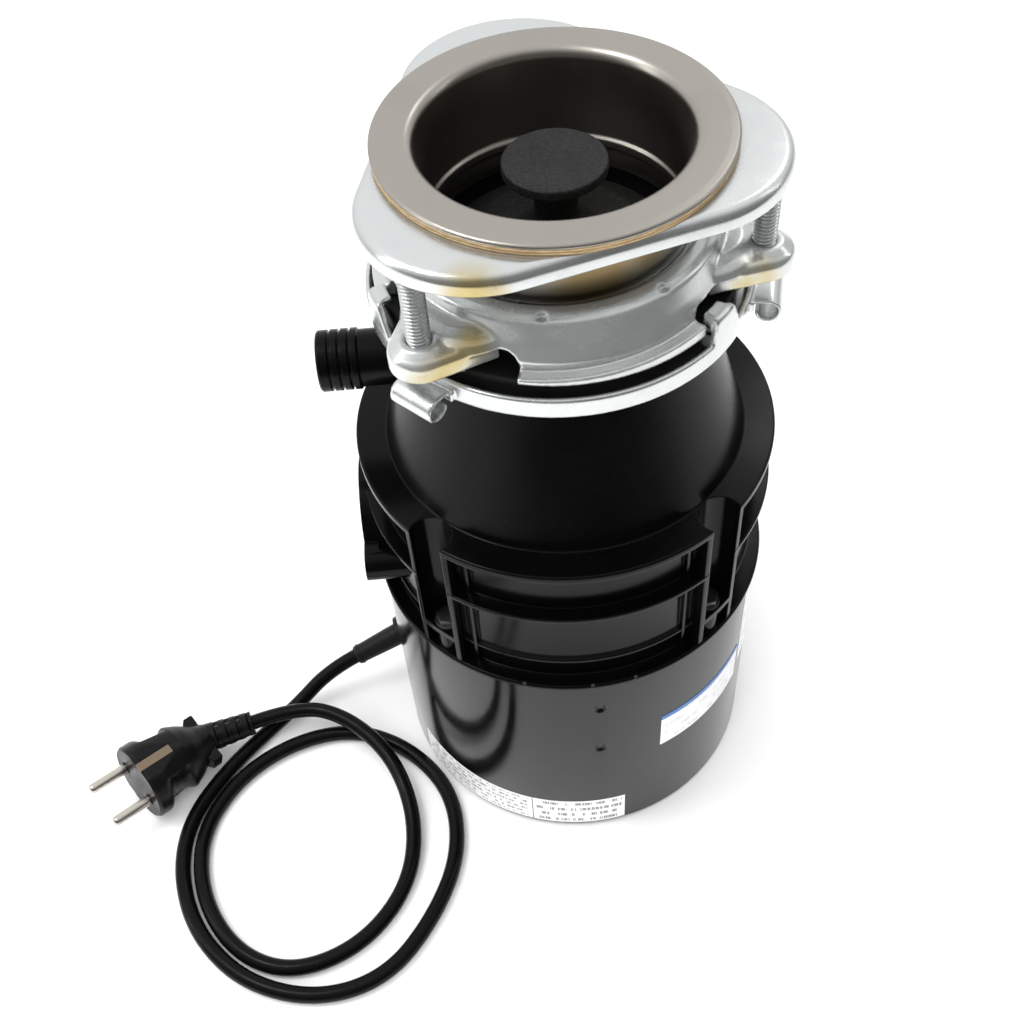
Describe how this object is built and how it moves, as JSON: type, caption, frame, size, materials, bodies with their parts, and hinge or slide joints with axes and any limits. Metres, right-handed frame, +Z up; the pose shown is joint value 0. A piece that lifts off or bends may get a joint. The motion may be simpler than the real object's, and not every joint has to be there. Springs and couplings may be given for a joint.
{
  "type": "kitchen garbage disposal",
  "caption": "Under-sink food waste disposer: black motor body and cone, three-screw sink mount with steel flange and stopper, side outlet, hose barb, cord and plug.",
  "frame": {"origin": "on the motor axis, in the plane of the base that the unit stands on, at the mouth of the wrench hole", "axes": "+Z up along the motor axis to the sink flange, -X to the waste outlet and the dishwasher barb, -Y to the front"},
  "size_m": [0.3061, 0.2307, 0.316],
  "materials": {
    "stainless": "brushed stainless steel",
    "zinc": "zinc-plated steel with light chromate stains",
    "fibre": "pressed fibre sheet",
    "housing": "glossy black moulding",
    "shell": "gloss black enamel on sheet steel",
    "rubber": "black rubber",
    "knob": "matt textured black",
    "label": null,
    "galvanised": "galvanised steel",
    "iron": "motor laminations",
    "casting": "cast aluminium",
    "copper": "varnished copper wire",
    "bronze": "sintered bronze",
    "black_steel": "blackened steel",
    "black_part": "matt black plastic",
    "red_button": "red plastic",
    "green_screw": "green screw head",
    "cord_jacket": "glossy black cord jacket",
    "plug_plastic": "satin black plug moulding",
    "pin_metal": "nickel-plated brass",
    "clip_metal": "nickel-plated brass, darkened"
  },
  "bodies": {
    "disposer": {"container_body": "housing", "container_cone": "housing", "inlet_stem": "housing", "container_bolts": "black_steel", "grind_chamber_liner": "galvanised", "shredder_ring": "galvanised", "upper_end_frame": "casting", "upper_bearing": "bronze", "shaft_seal": "rubber", "motor_shell": "shell", "stator_core": "iron", "upper_winding": "copper", "lower_winding": "copper", "lower_end_frame": "casting", "lower_bearing": "bronze", "thrust_washer": "bronze", "overload_protector": "black_part", "start_relay": "black_part", "wiring_cover": "galvanised", "cover_screw": "zinc", "ground_screw": "green_screw", "rating_label_left": "label", "rating_label_right": "label", "side_label": "label", "strip_label": "label", "cord_strain_relief": "rubber", "power_cord": "cord_jacket", "plug_body": "plug_plastic", "plug_pins": "pin_metal", "plug_earth_clips": "clip_metal", "plug_strain_relief": "plug_plastic", "mounting_gasket": "rubber", "splash_baffle": "rubber"},
    "sink_mount": {"sink_flange": "stainless", "flange_gasket": "fibre", "upper_mounting_ring": "zinc", "snap_ring": "zinc"},
    "backup": {"backup_plate": "zinc"},
    "screw_1": {"backup_screw_1": "zinc"},
    "screw_2": {"backup_screw_2": "zinc"},
    "screw_3": {"backup_screw_3": "zinc"},
    "lower_ring": {"lower_mounting_ring": "zinc", "turning_lugs": "zinc"},
    "stopper": {"stopper_body": "knob", "stopper_seal": "rubber"},
    "rotor": {"rotor_shaft": "galvanised", "rotor_core": "iron", "rotor_end_rings": "casting", "turntable": "galvanised", "turntable_nut": "galvanised", "impeller_rivets": "galvanised"},
    "impeller_a": {"impeller_1": "galvanised"},
    "impeller_b": {"impeller_2": "galvanised"},
    "button": {"reset_button": "red_button"}
  },
  "joints": [
    {"name": "rotor_spin", "type": "hinge", "parent": "disposer", "child": "rotor", "pos_m": [0, 0, 0.165], "axis": [0, 0, 1], "continuous": true},
    {"name": "impeller_1_swing", "type": "hinge", "parent": "rotor", "child": "impeller_a", "pos_m": [0.04, 0, 0.168], "axis": [0, 0, 1], "continuous": true},
    {"name": "impeller_2_swing", "type": "hinge", "parent": "rotor", "child": "impeller_b", "pos_m": [-0.04, 0, 0.168], "axis": [0, 0, 1], "continuous": true},
    {"name": "stopper_lift", "type": "slide", "parent": "sink_mount", "child": "stopper", "axis": [0, 0, 1], "range_m": [0, 0.09]},
    {"name": "reset_button_travel", "type": "slide", "parent": "disposer", "child": "button", "axis": [0, 0, 1], "range_m": [0, 0.003], "stiffness_N_per_m": 300},
    {"name": "mount_swivel", "type": "hinge", "parent": "disposer", "child": "sink_mount", "pos_m": [0, 0, 0.268], "axis": [0, 0, 1], "continuous": true},
    {"name": "lower_ring_turn", "type": "hinge", "parent": "sink_mount", "child": "lower_ring", "pos_m": [0, 0, 0.259], "axis": [0, 0, 1], "range_deg": [-70, 0]},
    {"name": "backup_plate_slide", "type": "slide", "parent": "sink_mount", "child": "backup", "axis": [0, 0, 1], "range_m": [-0.006, 0]},
    {"name": "backup_screw_1_spin", "type": "hinge", "parent": "backup", "child": "screw_1", "pos_m": [-0.0466, -0.04842, 0.29], "axis": [0, 0, 1], "range_deg": [-1535, 0]},
    {"name": "backup_screw_2_spin", "type": "hinge", "parent": "backup", "child": "screw_2", "pos_m": [0.06523, -0.01614, 0.29], "axis": [0, 0, 1], "range_deg": [-1535, 0]},
    {"name": "backup_screw_3_spin", "type": "hinge", "parent": "backup", "child": "screw_3", "pos_m": [-0.01864, 0.06456, 0.29], "axis": [0, 0, 1], "range_deg": [-1535, 0]}
  ],
  "couplings": [
    {"joint": "backup_screw_1_spin", "follows": "backup_plate_slide", "rad_per_m": 4453},
    {"joint": "backup_screw_2_spin", "follows": "backup_plate_slide", "rad_per_m": 4453},
    {"joint": "backup_screw_3_spin", "follows": "backup_plate_slide", "rad_per_m": 4453}
  ]
}
